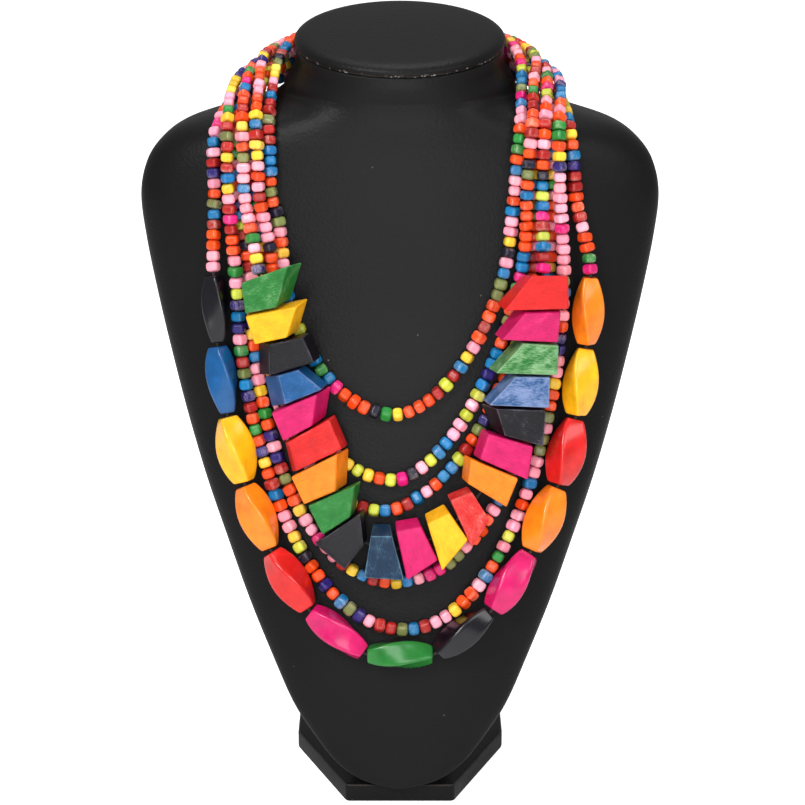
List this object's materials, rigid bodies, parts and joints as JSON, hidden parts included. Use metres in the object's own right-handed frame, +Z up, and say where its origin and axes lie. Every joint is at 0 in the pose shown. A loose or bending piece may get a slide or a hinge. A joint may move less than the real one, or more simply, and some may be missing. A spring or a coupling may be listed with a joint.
{
  "type": "beaded necklace on a neck bust",
  "caption": "Seven-strand necklace of small cube beads, wedge beads and twisted barrel beads, hung on a black neck bust with an oval cap and an eight-sided foot.",
  "frame": {"origin": "on the table under the middle of the whole object's box", "axes": "+Z up, the bust's chest faces -Y, +X to the right as seen from the front"},
  "size_m": [0.225, 0.1534, 0.3333],
  "materials": {
    "leatherette": "matt black fine-grained imitation leather",
    "clasp_metal": "plain dark",
    "small_beads": "dyed in many colours and waxed",
    "black_wood": "dyed and waxed, fine grain, slightly worn edges",
    "blue_wood": "dyed and waxed, fine grain, slightly worn edges",
    "green_wood": "dyed and waxed, fine grain, slightly worn edges",
    "magenta_wood": "dyed and waxed, fine grain, slightly worn edges",
    "navy_wood": "dyed and waxed, fine grain, slightly worn edges",
    "orange_wood": "dyed and waxed, fine grain, slightly worn edges",
    "red_wood": "dyed and waxed, fine grain, slightly worn edges",
    "yellow_wood": "dyed and waxed, fine grain, slightly worn edges",
    "black_barrel": "dyed and lacquered, smooth",
    "blue_barrel": "dyed and lacquered, smooth",
    "green_barrel": "dyed and lacquered, smooth",
    "magenta_barrel": "dyed and lacquered, smooth",
    "orange_barrel": "dyed and lacquered, smooth",
    "red_barrel": "dyed and lacquered, smooth",
    "yellow_barrel": "dyed and lacquered, smooth"
  },
  "bodies": {
    "root": {"bust_foot": "leatherette", "bust_body": "leatherette", "neck_cap": "leatherette", "clasp": "clasp_metal", "strand_a": "small_beads", "strand_b": "small_beads", "strand_c": "small_beads", "strand_d_left": "small_beads", "strand_d_right": "small_beads", "strand_e": "small_beads", "strand_f": "small_beads", "strand_g_left": "small_beads", "strand_g_right": "small_beads", "wedge_bead_01": "green_wood", "wedge_bead_02": "yellow_wood", "wedge_bead_03": "black_wood", "wedge_bead_04": "blue_wood", "wedge_bead_05": "magenta_wood", "wedge_bead_06": "red_wood", "wedge_bead_07": "orange_wood", "wedge_bead_08": "green_wood", "wedge_bead_09": "black_wood", "wedge_bead_10": "navy_wood", "wedge_bead_11": "magenta_wood", "wedge_bead_12": "yellow_wood", "wedge_bead_13": "red_wood", "wedge_bead_14": "orange_wood", "wedge_bead_15": "magenta_wood", "wedge_bead_16": "black_wood", "wedge_bead_17": "blue_wood", "wedge_bead_18": "green_wood", "wedge_bead_19": "magenta_wood", "wedge_bead_20": "red_wood", "barrel_bead_01": "black_barrel", "barrel_bead_02": "blue_barrel", "barrel_bead_03": "yellow_barrel", "barrel_bead_04": "orange_barrel", "barrel_bead_05": "red_barrel", "barrel_bead_06": "magenta_barrel", "barrel_bead_07": "green_barrel", "barrel_bead_08": "black_barrel", "barrel_bead_09": "magenta_barrel", "barrel_bead_10": "orange_barrel", "barrel_bead_11": "red_barrel", "barrel_bead_12": "yellow_barrel", "barrel_bead_13": "orange_barrel"}
  },
  "joints": []
}
